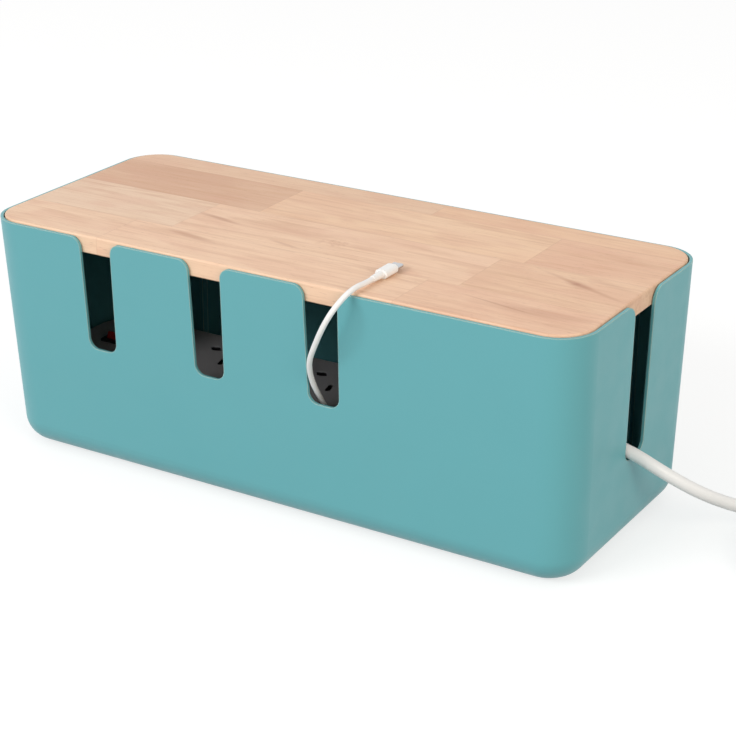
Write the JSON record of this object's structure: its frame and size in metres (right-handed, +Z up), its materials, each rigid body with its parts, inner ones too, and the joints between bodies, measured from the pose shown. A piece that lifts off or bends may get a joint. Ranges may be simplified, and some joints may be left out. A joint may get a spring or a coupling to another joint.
{
  "type": "cable management box",
  "caption": "Open-topped box with cable slots and a drop-in wooden lid that hides a switched power strip; mains cord out of one end, charging cable over the rim.",
  "frame": {"origin": "on the surface the box stands on, under the middle of its rim", "axes": "+X along the box towards the end that the mains cord leaves, +Y from the slotted front to the back, +Z up"},
  "size_m": [0.5783, 0.1783, 0.1563],
  "materials": {
    "shell": "satin moulded teal",
    "foot_rubber": "soft matt",
    "lid_wood": "sanded butcher block, clear satin",
    "strip_plastic": "fine texture",
    "screw_steel": "zinc plated",
    "contact_brass": "plain",
    "switch_black": "fine texture",
    "switch_red": "gloss, slightly see-through",
    "wire_brown": "plain insulation",
    "wire_blue": "plain insulation",
    "wire_green": "plain insulation",
    "cord_white": "satin",
    "plug_white": "satin",
    "pin_metal": "nickel plated",
    "shell_metal": "bright"
  },
  "bodies": {
    "box": {"housing": "shell", "foot_pads": "foot_rubber", "strip_cover": "strip_plastic", "strip_base": "strip_plastic", "strip_screws": "screw_steel", "live_bar": "contact_brass", "neutral_bar": "contact_brass", "earth_bar": "contact_brass", "switch_frame": "switch_black", "switch_terminals": "contact_brass", "live_wire": "wire_brown", "switched_live_wire": "wire_brown", "neutral_wire": "wire_blue", "earth_wire": "wire_green", "cord_clamp": "switch_black", "clamp_screws": "screw_steel", "cord_jacket": "cord_white", "cord_boot": "cord_white", "mains_cord": "cord_white", "mains_cord_coil": "cord_white", "mains_cord_end": "cord_white", "plug_boot": "plug_white", "plug_body": "plug_white", "plug_pins": "pin_metal"},
    "lid": {"lid_panel": "lid_wood", "charging_cable": "cord_white", "charging_cable_coil": "cord_white", "charging_cable_end": "cord_white", "tip_boot": "plug_white", "tip_body": "plug_white", "tip_shell": "shell_metal", "usb_boot": "plug_white", "usb_body": "plug_white", "usb_shell": "shell_metal"},
    "rocker": {"switch_rocker": "switch_red"}
  },
  "joints": [
    {"name": "lid_lift", "type": "slide", "parent": "box", "child": "lid", "axis": [0, 0, 1], "range_m": [0, 0.16]},
    {"name": "switch_tip", "type": "hinge", "parent": "box", "child": "rocker", "pos_m": [-0.1602, -0.0075, 0.0546], "axis": [1, 0, 0], "range_deg": [0, 24]}
  ]
}
